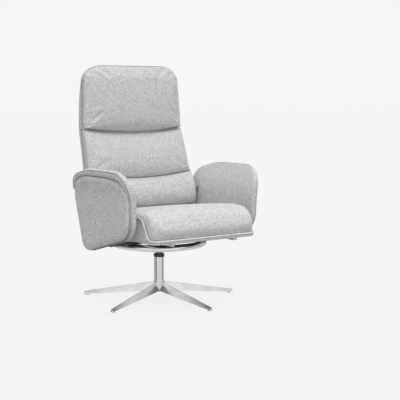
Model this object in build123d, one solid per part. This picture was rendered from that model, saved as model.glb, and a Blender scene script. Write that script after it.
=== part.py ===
from build123d import *
from math import atan, cos, degrees, radians, sin, sqrt
import os

# Star base swivel recliner, in millimetres. +Z is up and the sitter faces -Y, so +X is the sitter's left.
# Pieces are drawn about the swivel axis: the foot from the floor up, all that turns from the deck up.
# The deck is the top of the chassis ring. Each piece is put at its height as it is written.

# ---- driving sizes ------------------------------------------------------------------------------------
axis_behind_middle = 30.0       # swivel axis behind the middle of the outline
running_gap = 0.05              # radial clearance of a turning fit
soft_gap = 0.3                  # between soft pieces and what they lie on

# star foot
leg_count = 5
first_leg_angle = -139.0        # from straight ahead, towards +X
tip_reach = 370.0               # swivel axis to the end of a leg
leg_root_width = 33.0
leg_tip_width = 20.0
leg_root_ridge = 84.0
leg_tip_ridge = 19.0
leg_root_underside = 40.0
leg_tip_underside = 4.0
leg_edge_round = 1.2
glide_radius = 7.0
glide_inset = 17.0              # end of the leg to the middle of its glide

# hub, column and spindle
hub_radius = 25.5
hub_bottom = 38.0
hub_top = 84.0
hub_floor = 12.0
column_radius = 22.5
column_wall = 2.5
column_top = 200.0
spigot_height = 32.0
collar_edge_round = 3.0
spindle_radius = 16.0
spindle_tail_radius = 8.0
spindle_tail_hole = 8.5
lower_bush_wall = 2.5
upper_bush_height = 30.0
thrust_washer_height = 4.0
clip_height = 3.5
clip_rim = 5.0
collar_radius = 24.8
collar_height = 15.0
collar_skirt = 3.0

# chassis ring and spider
ring_radius = 204.0             # to the middle of the tube
ring_tube_radius = 15.0
ring_tube_wall = 2.5
ring_above_column = 65.0        # column top to the middle of the ring tube
spider_hub_radius = 30.0
spider_hub_height = 18.0
spider_hub_above_column = 22.0
spider_arm_count = 4
spider_arm_width = 22.0
spider_arm_height = 12.0

# cross bars, tracks and runners, from the deck up
bar_places = (-75.0, 55.0)
bar_width = 30.0
bar_height = 20.0
bar_wall = 3.0
bar_flange_height = 60.0
bar_flange_width = 44.0
bar_flange_thickness = 6.0
arm_bolt_height = 42.0
arm_bolt_radius = 4.0
bolt_hole_gap = 0.2
chassis_bolt_radius = 4.0
bolt_head_radius = 7.0
bolt_head_height = 5.0
track_offset = 165.0            # middle of a track from the centre line
track_width = 26.0
track_wall = 2.5
track_height = 20.0
track_front = -190.0
track_rear = 130.0
slide_gap = 0.3

# seat box, from the deck up
between_arms = 608.0            # between the inner faces of the arms
seat_side_gap = 36.0            # seat side panel to the arm's inner face
side_panel_thickness = 12.0
seat_front = -378.0             # face of the fascia
seat_corner_round = 30.0        # front corners in plan
seat_box_bottom = 24.0
seat_box_front_bottom = 36.0
seat_box_low_from = -130.0      # behind this the bottom edge is at its lowest
seat_box_high_from = -215.0     # before this it is at its highest
seat_rail_bottom = 54.0
seat_rail_height = 40.0
seat_rail_thickness = 25.0
seat_rail_rear = 110.0
runner_setback = 6.0
webbing_thickness = 3.0
seat_web_width = 60.0
seat_web_count = 6
underlining_thickness = 1.5

# seat cushion and its seam, from the deck up
seat_rear = 118.0
seat_top_rear = 126.0
seat_top_middle = -95.0         # where the top is longest from both ends
seat_top_front = 168.0
seat_nose_depth = 76.0          # nose to the front edge of the top
seat_nose_drop = 22.0
seat_nose_bottom = 56.0
seat_crown = 12.0
seat_edge_drop = 3.0
seam_rear_height = 124.0
seam_bend_place = -288.0
seam_bend_height = 144.0
seam_foot_place = -334.0
seam_foot_height = 52.0
seam_bend_round = 38.0
seam_foot_round = 22.0
piping_radius = 3.5

# back and head, from the deck up
back_gap = 24.0                 # side of the back to the arm's inner face
back_bottom = 92.0
lumbar_bottom = 140.0
lower_crease = 290.0
head_crease = 500.0
back_top = 793.0
head_width_at_top = 500.0
head_corner_round = 48.0
crease_half_gap = 1.5
head_half_gap = 3.0
tilt_clearance = 1.5            # more off the mid cushion's top, for the headrest's tilt
seam_bottom = 80.0              # the back's front seam is drawn from here
seam_places = (126.0, 164.0, 221.0)         # of that seam, from the bottom to the head crease
head_seam_middle = 630.0
seam_top = 798.0                # past the back's top
head_seam_places = (221.0, 238.0, 252.0)    # from the head crease to the top
cover_depth_low = 52.0          # back cover behind the seam, from the bottom up
cover_depth_lower_crease = 56.0
cover_depth_head_crease = 58.0
cover_full_to = 640.0           # from here the head cover thins to the top
cover_depth_full = 46.0
cover_depth_top = 9.0
cover_least_depth = 2.0
cover_crown = 22.0
cover_corner = 18.0
cover_wall = 9.0
cushion_crown = 36.0
cushion_corner = 34.0
crease_crown = 9.0
crease_pinch = 4.0
cushion_behind_seam = 25.0      # cut off later, so that the cushion is flat along the seam
cushion_border = 3.0            # straight sides before the seam

# back frame and pivots, from the deck up
frame_tube_radius = 12.5
frame_tube_wall = 2.0
frame_behind_seam = 14.0
upright_side_gap = 35.0         # middle of an upright to the side of the back
upright_bottom = 112.0
upright_top = 482.0
lower_cross_height = 128.0
upper_cross_height = 462.0
back_web_heights = (180.0, 245.0, 325.0, 400.0)
back_web_width = 45.0
back_web_thickness = 2.0
boss_place = 166.0
boss_radius = 9.0
pivot_place = 122.0
pivot_height = 220.0
pivot_plate_thickness = 6.0
pivot_plate_radius = 15.0
pivot_bolt_radius = 5.0
pivot_head_radius = 9.0
pivot_head_height = 4.0
spacer_radius = 13.0

# head frame and hinges, from the deck up
hinge_behind_seam = 7.0
hinge_offset = 200.0            # face where the two leaves meet, from the centre line
hinge_leaf = 4.0
hinge_knuckle = 6.0
hinge_pin_radius = 3.0
hinge_leaf_reach = 100.0
head_board_half_width = 215.0
head_board_thickness = 8.0
head_board_bottom = 515.0
head_board_top = 690.0

# arms, from the deck up
arm_front = -298.0
arm_top = 342.0
arm_rear = 203.0
arm_rear_top = 299.0
arm_rear_foot = 95.0
arm_bottom = -46.0
arm_front_bottom = 61.0
arm_top_bend = 20.0
arm_bend_drop = 3.0
arm_front_top_round = 62.0
arm_bend_round = 300.0
arm_rear_top_round = 75.0
arm_rear_foot_round = 60.0
arm_front_foot_round = 90.0
arm_plan_round = 40.0           # outer corners of the pad in plan
arm_pad_thickness = 28.0
arm_pad_bottom = 66.0
arm_flare_start = 215.0
arm_flare = 42.0
arm_flare_middle = 50.0         # height above the start where the flare is a quarter out
arm_rim_reach = 57.0
arm_rim_edge = 14.0             # the rim's edges lie this far below its crest
arm_rim_underside = 306.0
arm_rim_sweep = 7.0             # sideways bow of the rim's underside and crest
core_thickness = 16.0
core_inset = 14.0
core_top = 238.0
core_in_pad = 2.0               # pad over the core's outer face
panel_bulge = 14.0
panel_top = 300.0
panel_setback = 12.0            # panel's front edge behind the arm's
panel_rear_setback = 8.0
panel_front_top_round = 58.0
panel_rear_top_round = 75.0
panel_steps = ((2.0, 0.0), (4.0, 0.45), (14.0, 0.85), (38.0, 1.0))    # inset, share of the bulge

# ---- sizes that follow --------------------------------------------------------------------------------
deck = column_top + ring_above_column + ring_tube_radius
arm_inner = between_arms / 2
seat_half = arm_inner - seat_side_gap
back_half = arm_inner - back_gap
head_half = head_width_at_top / 2
rail_half = seat_half - side_panel_thickness
upright_offset = back_half - upright_side_gap
seat_rail_top = seat_rail_bottom + seat_rail_height
seat_rail_front = seat_front + side_panel_thickness
core_outer = arm_inner + arm_pad_thickness - core_in_pad
core_inner = core_outer - core_thickness
bar_half = core_inner - bar_flange_thickness
seam_line = tuple(zip(seam_places, (seam_bottom, lower_crease, head_crease)))
head_seam_line = tuple(zip(head_seam_places, (head_crease, head_seam_middle, seam_top)))
cover_depths = ((back_bottom, cover_depth_low), (lower_crease, cover_depth_lower_crease),
                (head_crease, cover_depth_head_crease), (cover_full_to, cover_depth_full),
                (back_top, cover_depth_top))
hinge_place = seam_places[-1] + hinge_behind_seam
far = 900.0                     # longer than any piece, for cutting tools

os.makedirs("parts", exist_ok=True)


def write(name, shape, height=0.0):
    """Write one node with the outline's middle at the origin."""
    placed = Pos(0, axis_behind_middle, height) * shape
    placed.label = name
    export_step(placed, f"parts/{name}.step")


def ring_shape(outer, inner, bottom, top):
    """Upright tube about the swivel axis."""
    height = top - bottom
    body = Cylinder(outer, height) - Cylinder(inner, height + 2)
    return Pos(0, 0, (bottom + top) / 2) * body


def disc(radius, bottom, top):
    return Pos(0, 0, (bottom + top) / 2) * Cylinder(radius, top - bottom)


def rod(radius, start, end):
    """Round bar between two points on a line parallel to X."""
    middle = (start + end) / 2
    return Pos(*middle) * Rot(0, 90, 0) * Cylinder(radius, abs(end.X - start.X))


def cross_rod(radius, x_start, x_end, place, height):
    return rod(radius, Vector(x_start, place, height), Vector(x_end, place, height))


def block(x_low, x_high, y_low, y_high, z_low, z_high):
    middle = Pos((x_low + x_high) / 2, (y_low + y_high) / 2, (z_low + z_high) / 2)
    return middle * Box(x_high - x_low, y_high - y_low, z_high - z_low)


def side_slab(outline, x_low, x_high):
    """Slab with an outline drawn in side view (Y, Z), between two places along X."""
    return Pos(x_low, 0, 0) * extrude(Plane.YZ * outline, x_high - x_low)


def both_sides(shape):
    return Compound([shape, mirror(shape, Plane.YZ)])


def circle_through(points):
    """Centre and radius of the circle through three side-view points."""
    (ay, az), (by, bz), (cy, cz) = points
    scale = 2 * (ay * (bz - cz) + by * (cz - az) + cy * (az - bz))
    square_a, square_b, square_c = ay**2 + az**2, by**2 + bz**2, cy**2 + cz**2
    centre_y = (square_a * (bz - cz) + square_b * (cz - az) + square_c * (az - bz)) / scale
    centre_z = (square_a * (cy - by) + square_b * (ay - cy) + square_c * (by - ay)) / scale
    return centre_y, centre_z, sqrt((ay - centre_y) ** 2 + (az - centre_z) ** 2)


def seam_place(height):
    """Where the front seam of the back or head stands at a height."""
    line = seam_line if height <= head_crease else head_seam_line
    centre_y, centre_z, radius = circle_through(line)
    side = 1 if line[1][0] > centre_y else -1
    return centre_y + side * sqrt(radius**2 - (height - centre_z) ** 2)


def between(height, stations):
    """Value at a height on a line through (height, value) stations."""
    for (low, low_value), (high, high_value) in zip(stations[:-1], stations[1:]):
        if height <= high:
            return low_value + (high_value - low_value) * (height - low) / (high - low)
    return stations[-1][1]


def back_half_at(height):
    return between(height, ((lower_crease, back_half), (back_top, head_half)))


def seam_tilt(height):
    """Turn that lays an upright piece along the seam at a height."""
    step = 10
    lean = (seam_place(height + step) - seam_place(height - step)) / (2 * step)
    return Rot(-degrees(atan(lean)), 0, 0)


def seam_side(shift, towards):
    """All that lies before (towards -1) or behind (+1) the front seam, moved by shift along Y."""
    low, middle, crease = [(y + shift, z) for y, z in seam_line]
    head_middle, top = [(y + shift, z) for y, z in head_seam_line[1:]]
    edge = ThreePointArc(low, middle, crease) + ThreePointArc(crease, head_middle, top)
    outside = Polyline(top, (towards * far, top[1]), (towards * far, low[1]), low)
    return side_slab(make_face(edge + outside), -far, far)


def padded_section(height, half, flat, side, corner, front_corner, crown):
    """Level section: a straight back, short sides, rounded corners and one long crowned arc."""
    corner_x = half - corner
    corner_y = side + front_corner
    bend_x = half - corner * (1 - cos(radians(45)))
    bend_y = side + front_corner * sin(radians(45))
    outline = Polyline((-half, side), (-half, flat), (half, flat), (half, side))
    outline += ThreePointArc((half, side), (bend_x, bend_y), (corner_x, corner_y))
    outline += ThreePointArc((corner_x, corner_y), (0, corner_y + crown), (-corner_x, corner_y))
    outline += ThreePointArc((-corner_x, corner_y), (-bend_x, bend_y), (-half, side))
    return Pos(0, 0, height) * make_face(outline)


def cushion(bottom, top, fullness):
    """Back cushion between two creases: crowned, with its sides drawn in at the creases."""
    sections = []
    for share in (0.0, 0.1, 0.3, 0.5, 0.7, 0.9, 1.0):
        height = bottom + share * (top - bottom)
        swell = sin(radians(180 * share)) ** 0.6 if 0 < share < 1 else 0.0
        seam = seam_place(height)
        depth = crease_crown + (fullness - crease_crown) * swell
        half = back_half_at(height) - soft_gap - crease_pinch * (1 - swell)
        corner = cushion_corner * (0.5 + 0.5 * swell)
        flat, side = seam + cushion_behind_seam, seam - cushion_border
        sections.append(padded_section(height, half, flat, side, corner, -0.6 * depth, -0.4 * depth))
    shape = loft(sections)
    return (shape & back_outline) & seam_side(-soft_gap, -1)


def cover(bottom, top, wall):
    """Solid inside a rear cover's outer face, or inside its lining when wall is above zero."""
    sections = []
    for share in (0.0, 0.25, 0.5, 0.75, 1.0):
        height = bottom + share * (top - bottom)
        seam = seam_place(height)
        depth = max(between(height, cover_depths) - wall, cover_least_depth)
        half = back_half_at(height) - wall
        corner = min(cover_corner, 0.8 * depth)
        crown = cover_crown * min(1.0, depth / cover_depth_full)
        flat, side = seam - cushion_behind_seam, seam + depth - corner
        sections.append(padded_section(height, half, flat, side, corner, corner, crown))
    return loft(sections)


# ---- star foot ----------------------------------------------------------------------------------------
def leg_section(reach, width, underside, ridge):
    """Three-sided section, ridge up, square to a leg that points along +X."""
    edge = Polyline((-width / 2, underside), (width / 2, underside), (0, ridge), close=True)
    return Pos(reach, 0, 0) * (Plane.YZ * make_face(edge))


def star_leg():
    root = leg_section(hub_radius - 8, leg_root_width, leg_root_underside, leg_root_ridge)
    tip = leg_section(tip_reach, leg_tip_width, leg_tip_underside, leg_tip_ridge)
    leg = loft([root, tip], ruled=True)
    leg = fillet(leg.edges().filter_by(lambda edge: edge.length > tip_reach / 2), leg_edge_round)
    end_round = leg_tip_width / 2
    plan = Rectangle(tip_reach - end_round, 3 * leg_root_width, align=(Align.MIN, Align.CENTER))
    plan += Pos(tip_reach - end_round, 0) * Circle(end_round)
    leg = leg & extrude(plan, leg_root_ridge + 10)
    return leg - disc(hub_radius, 0, 2 * hub_top)


one_leg = star_leg()
one_glide = Pos(tip_reach - glide_inset, 0, 0) * disc(glide_radius, 0, leg_tip_ridge / 2) - one_leg
glides = []
for number in range(leg_count):
    turn = Rot(0, 0, first_leg_angle - 90 + number * 360 / leg_count)
    write(f"star_leg_{number + 1}", turn * one_leg)
    glides.append(turn * one_glide)
write("leg_glides", Compound(glides))

# ---- hub, column, bearings and spindle ----------------------------------------------------------------
floor_top = hub_bottom + hub_floor
spigot_radius = column_radius - column_wall
spigot_top = hub_top + spigot_height
bush_radius = spindle_radius + lower_bush_wall
washer_top = floor_top + thrust_washer_height
hub = disc(hub_radius, hub_bottom, hub_top) + disc(spigot_radius, hub_top, spigot_top)
hub -= disc(bush_radius, floor_top, spigot_top + 1)
hub -= disc(spindle_tail_hole, hub_bottom - 1, floor_top + 1)
write("base_hub", hub)
write("column_tube", ring_shape(column_radius, spigot_radius, hub_top, column_top))
write("thrust_washer", ring_shape(bush_radius, spindle_tail_hole, floor_top, washer_top))
spindle_bore = spindle_radius + running_gap
write("lower_bush", ring_shape(bush_radius, spindle_bore, washer_top, spigot_top))
write("upper_bush", ring_shape(spigot_radius, spindle_bore, column_top - upper_bush_height, column_top))

collar_bottom = column_top - collar_skirt
collar = disc(collar_radius, collar_bottom, collar_bottom + collar_height)
collar = fillet(collar.edges().sort_by(Axis.Z)[-1], collar_edge_round)
collar -= disc(column_radius, collar_bottom - 1, column_top)
collar -= disc(spindle_bore + soft_gap, collar_bottom, column_top + collar_height)
write("column_collar", collar)

spider_hub_bottom = column_top + spider_hub_above_column
spider_hub_top = spider_hub_bottom + spider_hub_height
clip_bottom = hub_bottom - clip_height - soft_gap
spindle = disc(spindle_radius, washer_top + running_gap, spider_hub_top)
spindle += disc(spindle_tail_radius, clip_bottom - 2, washer_top + running_gap)
write("spindle", spindle)
clip_top = clip_bottom + clip_height
write("spindle_clip", ring_shape(spindle_tail_radius + clip_rim, spindle_tail_radius, clip_bottom, clip_top))

# ---- chassis ring and spider --------------------------------------------------------------------------
ring_height = column_top + ring_above_column
bar_bolt_spots = []
for place in bar_places:
    across = sqrt(ring_radius**2 - place**2)
    bar_bolt_spots += [(-across, place), (across, place)]


def upright_rods(spots, radius, bottom, top):
    return [Pos(x, y, 0) * disc(radius, bottom, top) for x, y in spots]


def hoop(tube_radius):
    return Pos(0, 0, ring_height) * Torus(ring_radius, tube_radius)


ring_holes = upright_rods(bar_bolt_spots, chassis_bolt_radius + bolt_hole_gap, ring_height, deck + 5)
write("chassis_ring", hoop(ring_tube_radius) - hoop(ring_tube_radius - ring_tube_wall) - ring_holes)

spider = disc(spider_hub_radius, spider_hub_bottom, spider_hub_top)
arm_root = Vector(0, 0, (spider_hub_bottom + spider_hub_top) / 2)
for number in range(spider_arm_count):
    heading = radians(45 + number * 360 / spider_arm_count)
    arm_end = Vector(ring_radius * cos(heading), ring_radius * sin(heading), ring_height - 4)
    along = arm_end - arm_root
    bar_plane = Plane(arm_root, x_dir=(-sin(heading), cos(heading), 0), z_dir=along)
    bar_shape = RectangleRounded(spider_arm_width, spider_arm_height, 3)
    spider += extrude(bar_plane * bar_shape, along.length) - hoop(ring_tube_radius)
spider -= disc(spindle_radius, 0, deck)
write("spider", spider)

# ---- cross bars that carry arms and seat --------------------------------------------------------------
arm_bolts = []
for name, place in zip(("cross_bar_front", "cross_bar_rear"), bar_places):
    channel = block(-bar_half, bar_half, place - bar_width / 2, place + bar_width / 2, 0, bar_height)
    inside = bar_width / 2 - bar_wall
    channel -= block(-bar_half, bar_half, place - inside, place + inside, -1, bar_height - bar_wall)
    for side in (-1, 1):
        x_low, x_high = sorted((side * bar_half, side * core_inner))
        y_low, y_high = place - bar_flange_width / 2, place + bar_flange_width / 2
        channel += block(x_low, x_high, y_low, y_high, 0, bar_flange_height)
        bolt_end = side * (bar_half - 4)
        channel -= cross_rod(arm_bolt_radius, bolt_end, side * far, place, arm_bolt_height)
        head_face = side * core_outer
        head_seat = side * (core_outer - bolt_head_height)
        bolt = cross_rod(arm_bolt_radius, bolt_end, head_seat, place, arm_bolt_height)
        bolt += cross_rod(bolt_head_radius, head_seat, head_face, place, arm_bolt_height)
        arm_bolts.append(bolt)
    for hole in upright_rods(bar_bolt_spots, chassis_bolt_radius, -1, bar_height + 1):
        channel -= hole
    write(name, channel, deck)
write("arm_bolts", Compound(arm_bolts), deck)

chassis_bolts = []
for x, y in bar_bolt_spots:
    shank = disc(chassis_bolt_radius, -ring_tube_radius + 2, bar_height)
    head = disc(bolt_head_radius, bar_height, bar_height + bolt_head_height)
    chassis_bolts.append(Pos(x, y, 0) * (shank + head))
write("chassis_bolts", Compound(chassis_bolts), deck)

track_bottom = bar_height
runner_half = track_width / 2 - track_wall - slide_gap
for name, side in (("left", 1), ("right", -1)):
    middle = side * track_offset
    track = block(-track_width / 2, track_width / 2, track_front, track_rear, 0, track_height)
    groove = track_width / 2 - track_wall
    track -= block(-groove, groove, track_front - 1, track_rear + 1, track_wall, track_height + 1)
    write(f"glide_track_{name}", Pos(middle, 0, track_bottom) * track, deck)
    runner_bottom = track_bottom + track_wall + slide_gap
    runner_front, runner_rear = seat_rail_front + runner_setback, seat_rail_rear - runner_setback
    runner = block(-runner_half, runner_half, runner_front, runner_rear, runner_bottom, seat_rail_bottom)
    write(f"seat_runner_{name}", Pos(middle, 0, 0) * runner, deck)

# ---- seat box -----------------------------------------------------------------------------------------
def seat_plan(inset, rear):
    """All inside the seat's outline seen from above, which has two rounded front corners."""
    half, front = seat_half - inset, seat_front + inset
    outline = make_face(Polyline((-half, rear), (-half, front), (half, front), (half, rear), close=True))
    front_corners = outline.vertices().group_by(Axis.Y)[0]
    return extrude(fillet(front_corners, seat_corner_round - inset), far)


inside_panels = seat_plan(side_panel_thickness, far)
rail_inner = rail_half - seat_rail_thickness
front_rail_rear = seat_rail_front + seat_rail_thickness
rear_rail_front = seat_rail_rear - seat_rail_thickness
rail_span = (seat_rail_bottom, seat_rail_top)
front_rail = block(-rail_half, rail_half, seat_rail_front, front_rail_rear, *rail_span)
write("seat_rail_front", front_rail & inside_panels, deck)
write("seat_rail_rear", block(-rail_inner, rail_inner, rear_rail_front, seat_rail_rear, *rail_span), deck)
left_rail = block(rail_inner, rail_half, front_rail_rear, seat_rail_rear, *rail_span)
write("seat_rail_left", left_rail, deck)
write("seat_rail_right", mirror(left_rail, Plane.YZ), deck)

web_top = seat_rail_top + webbing_thickness
web_step = (rear_rail_front - front_rail_rear) / seat_web_count
web_reach = rail_half - bolt_head_height
webs = []
for number in range(seat_web_count):
    web_front = front_rail_rear + (number + 0.5) * web_step - seat_web_width / 2
    web_rear = web_front + seat_web_width
    webs.append(block(-web_reach, web_reach, web_front, web_rear, seat_rail_top, web_top))
write("seat_webbing", Compound(webs), deck)

lining_half = track_offset - runner_half - 4
lining_bottom = seat_rail_bottom - underlining_thickness
lining = block(-lining_half, lining_half, seat_rail_front, seat_rail_rear, lining_bottom, seat_rail_bottom)
write("seat_underlining", lining, deck)

box_rear = seat_rail_rear + 2
seam_edge = FilletPolyline((box_rear, seam_rear_height), (seam_bend_place, seam_bend_height),
                           (seam_foot_place, seam_foot_height), (seat_front, seam_foot_height),
                           radius=(seam_bend_round, seam_foot_round))
below_seam = Polyline((seat_front, seam_foot_height), (seat_front, seat_box_front_bottom),
                      (seat_box_high_from, seat_box_front_bottom), (seat_box_low_from, seat_box_bottom),
                      (box_rear, seat_box_bottom), (box_rear, seam_rear_height))
panels = seat_plan(0, far) - inside_panels
panels = panels & side_slab(make_face(seam_edge + below_seam), -far, far)
corner_start = seat_half - seat_corner_round
left_side = panels & block(corner_start, far, -far, far, 0, far)
fascia = panels & block(-corner_start, corner_start, -far, seat_front + seat_corner_round, 0, far)
write("seat_side_left", left_side, deck)
write("seat_side_right", mirror(left_side, Plane.YZ), deck)
write("seat_fascia", fascia, deck)


def seat_section(x):
    """Side-view section of the seat cushion, fuller towards the centre line."""
    share = abs(x) / seat_half
    crown = seat_crown * (1 - share**2.2) - seat_edge_drop * share**12
    nose = seat_front
    rear_top = (seat_rear, seat_top_rear + 0.7 * crown)
    top_middle = (seat_top_middle, (seat_top_rear + seat_top_front) / 2 + crown / 2 + 6)
    top_front = (nose + seat_nose_depth, seat_top_front + crown)
    shoulder = (nose + seat_nose_depth / 4, seat_top_front - seat_nose_drop + 0.8 * crown)
    nose_middle = (nose, (seat_nose_bottom + seat_top_front) / 2)
    nose_low = (nose + 3, seat_nose_bottom + 18)
    nose_end = (nose + 8, seat_nose_bottom)
    edge = ThreePointArc(rear_top, top_middle, top_front)
    edge += ThreePointArc(top_front, shoulder, nose_middle)
    edge += ThreePointArc(nose_middle, nose_low, nose_end)
    edge += Polyline(nose_end, (seat_rail_front, seat_nose_bottom), (seat_rail_front, web_top),
                     (seat_rear, web_top), rear_top)
    return Pos(x, 0, 0) * (Plane.YZ * make_face(edge))


seat_shares = (-1.0, -0.95, -0.75, -0.4, 0.0, 0.4, 0.75, 0.95, 1.0)
seat_cushion = loft([seat_section(share * seat_half) for share in seat_shares])
seat_cushion = (seat_cushion & seat_plan(0, far)) - left_side - mirror(left_side, Plane.YZ) - fascia


write("seat_cushion", seat_cushion, deck)

piping_x = seat_half + piping_radius + soft_gap
piping_front = seat_front - piping_radius - soft_gap
seam_corners = ((box_rear, seam_rear_height), (seam_bend_place, seam_bend_height),
                (seam_foot_place, seam_foot_height), (piping_front, seam_foot_height))
piping_corners = [(-piping_x, y, z) for y, z in seam_corners]
piping_corners += [(piping_x, y, z) for y, z in seam_corners[::-1]]
piping_rounds = [seam_bend_round, seam_foot_round, seat_corner_round + piping_radius + soft_gap]
piping_path = FilletPolyline(*piping_corners, radius=piping_rounds + piping_rounds[::-1])
piping_start = Plane(piping_path @ 0, z_dir=piping_path % 0)
write("seat_piping", sweep(piping_start * Circle(piping_radius), path=piping_path), deck)

# ---- back and head cushions, covers -------------------------------------------------------------------
front_view = Polyline((-back_half, 0), (-back_half, lower_crease), (-head_half, back_top),
                      (head_half, back_top), (back_half, lower_crease), (back_half, 0), close=True)
front_face = make_face(front_view)
top_corners = front_face.vertices().group_by(Axis.Y)[-1]
back_outline = extrude(Plane.XZ * fillet(top_corners, head_corner_round), far, both=True)

lumbar_top, mid_bottom = lower_crease - crease_half_gap, lower_crease + crease_half_gap
write("lumbar_cushion", cushion(lumbar_bottom, lumbar_top, cushion_crown), deck)
mid_top = head_crease - head_half_gap - tilt_clearance
write("mid_cushion", cushion(mid_bottom, mid_top, cushion_crown), deck)
write("head_cushion", cushion(head_crease + head_half_gap, back_top, cushion_crown), deck)

behind = seam_side(0, 1)
boss_hole = both_sides(cross_rod(boss_radius + 0.5, 0, far, boss_place, pivot_height))
back_cover = cover(back_bottom, head_crease - head_half_gap, 0) & behind & back_outline
back_cover -= cover(back_bottom + cover_wall, head_crease, cover_wall)
for hole in boss_hole.solids():
    back_cover -= hole
write("back_cover", back_cover, deck)
head_cover = cover(head_crease + head_half_gap, back_top, 0) & behind & back_outline
head_cover -= cover(head_crease, back_top - 5 * cover_wall, cover_wall)
write("head_cover", head_cover, deck)

# ---- back frame and recline pivots --------------------------------------------------------------------
def upright():
    """Bent tube that follows the back's seam, with the boss that the pivot plate sits on."""
    heights = (upright_bottom, (upright_bottom + upright_top) / 2, upright_top)
    points = [(upright_offset, seam_place(z) + frame_behind_seam, z) for z in heights]
    path = ThreePointArc(*points)
    start = Plane(path @ 0, z_dir=path % 0)
    boss_inner = upright_offset - frame_tube_radius / 2
    boss = cross_rod(boss_radius, boss_inner, back_half + pivot_plate_thickness, boss_place, pivot_height)
    bent = sweep(start * Circle(frame_tube_radius), path=path)
    bore = sweep(start * Circle(frame_tube_radius - frame_tube_wall), path=path)
    return bent - bore + boss


left_upright = upright()
write("back_upright_left", left_upright, deck)
write("back_upright_right", mirror(left_upright, Plane.YZ), deck)
for name, height in (("back_cross_lower", lower_cross_height), ("back_cross_upper", upper_cross_height)):
    place = seam_place(height) + frame_behind_seam
    tube = cross_rod(frame_tube_radius, -upright_offset, upright_offset, place, height)
    tube -= cross_rod(frame_tube_radius - frame_tube_wall, -far, far, place, height)
    cutter_shape = Cylinder(frame_tube_radius + soft_gap, 6 * frame_tube_radius)
    cutter = Pos(upright_offset, place, height) * seam_tilt(height) * cutter_shape
    tube -= cutter
    tube -= mirror(cutter, Plane.YZ)
    write(name, tube, deck)

web_half = upright_offset - frame_tube_radius - 0.1
back_webs = []
for height in back_web_heights:
    place = Pos(0, seam_place(height) + frame_behind_seam, height) * seam_tilt(height)
    back_webs.append(place * Box(2 * web_half, back_web_thickness, back_web_width))
write("back_webbing", Compound(back_webs), deck)

plate_outline = make_hull(
    (Pos(boss_place, pivot_height) * Circle(pivot_plate_radius)
     + Pos(pivot_place, pivot_height) * Circle(pivot_plate_radius)).edges()
)
plate_inner = back_half + 0.5
plate_outer = back_half + pivot_plate_thickness
plate = side_slab(plate_outline, plate_inner, plate_outer)
plate -= cross_rod(boss_radius, 0, far, boss_place, pivot_height)
plate -= cross_rod(pivot_bolt_radius + running_gap, 0, far, pivot_place, pivot_height)
write("pivot_plates", both_sides(plate), deck)

pivot_head_inner = plate_inner - pivot_head_height
pivot_bolt = cross_rod(pivot_head_radius, pivot_head_inner, plate_inner - 0.1, pivot_place, pivot_height)
pivot_bolt += cross_rod(pivot_bolt_radius, pivot_head_inner, core_outer - 2, pivot_place, pivot_height)
write("pivot_bolts", both_sides(pivot_bolt), deck)
spacer = cross_rod(spacer_radius, plate_outer + 0.1, core_inner, pivot_place, pivot_height)
spacer -= cross_rod(pivot_bolt_radius, 0, far, pivot_place, pivot_height)
write("pivot_spacers", both_sides(spacer), deck)

# ---- head board and hinges ----------------------------------------------------------------------------
board_low, board_high = head_board_bottom, head_board_top
board_mid = (board_low + board_high) / 2
front_points = [(seam_place(z) + 0.5, z) for z in (board_low, board_mid, board_high)]
rear_points = [(y + head_board_thickness, z) for y, z in front_points]
board_edge = ThreePointArc(*front_points) + Line(front_points[-1], rear_points[-1])
board_edge += ThreePointArc(*rear_points[::-1]) + Line(rear_points[0], front_points[0])
head_board = side_slab(make_face(board_edge), -head_board_half_width, head_board_half_width)
write("head_board", head_board, deck)

knuckle = Pos(hinge_place, head_crease) * Circle(hinge_knuckle)
cross_place = seam_place(upper_cross_height) + frame_behind_seam
lower_strip = Polyline((hinge_place - hinge_knuckle, head_crease),
                       (cross_place - hinge_knuckle, upper_cross_height),
                       (cross_place + hinge_knuckle, upper_cross_height),
                       (hinge_place + hinge_knuckle, head_crease), close=True)
leaf_top = head_crease + hinge_leaf_reach
leaf_top_place = seam_place(leaf_top) + head_board_thickness
upper_strip = Polyline((hinge_place - 2, head_crease + 5), (hinge_place + hinge_knuckle, head_crease),
                       (leaf_top_place + 22, leaf_top), (leaf_top_place - 4, leaf_top), close=True)
lower_leaf = side_slab(knuckle + make_face(lower_strip), hinge_offset - hinge_leaf, hinge_offset)
lower_leaf -= cross_rod(frame_tube_radius, 0, far, cross_place, upper_cross_height)
lower_leaf -= cross_rod(hinge_pin_radius, 0, far, hinge_place, head_crease)
write("head_hinge_lower", both_sides(lower_leaf), deck)
upper_inner = hinge_offset + slide_gap
upper_leaf = side_slab(knuckle + make_face(upper_strip), upper_inner, upper_inner + hinge_leaf)
upper_leaf -= head_board
upper_leaf -= cross_rod(hinge_pin_radius + running_gap, 0, far, hinge_place, head_crease)
write("head_hinge_upper", both_sides(upper_leaf), deck)
pin_inner, pin_outer = hinge_offset - hinge_leaf - 1, upper_inner + hinge_leaf + 1
pin = cross_rod(hinge_pin_radius, pin_inner, pin_outer, hinge_place, head_crease)
write("head_hinge_pins", both_sides(pin), deck)

# ---- arms ---------------------------------------------------------------------------------------------
arm_corners = ((arm_front, arm_top), (arm_top_bend, arm_top - arm_bend_drop), (arm_rear, arm_rear_top),
               (arm_rear_foot, arm_bottom), (arm_front, arm_front_bottom))
arm_rounds = (arm_front_top_round, arm_bend_round, arm_rear_top_round, arm_rear_foot_round,
              arm_front_foot_round)


def arm_outline(inset):
    """Side view of the arm: a rounded shield that tapers down and rearward."""
    face = make_face(FilletPolyline(*arm_corners, radius=arm_rounds, close=True))
    return offset(face, -inset) if inset else face


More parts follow.
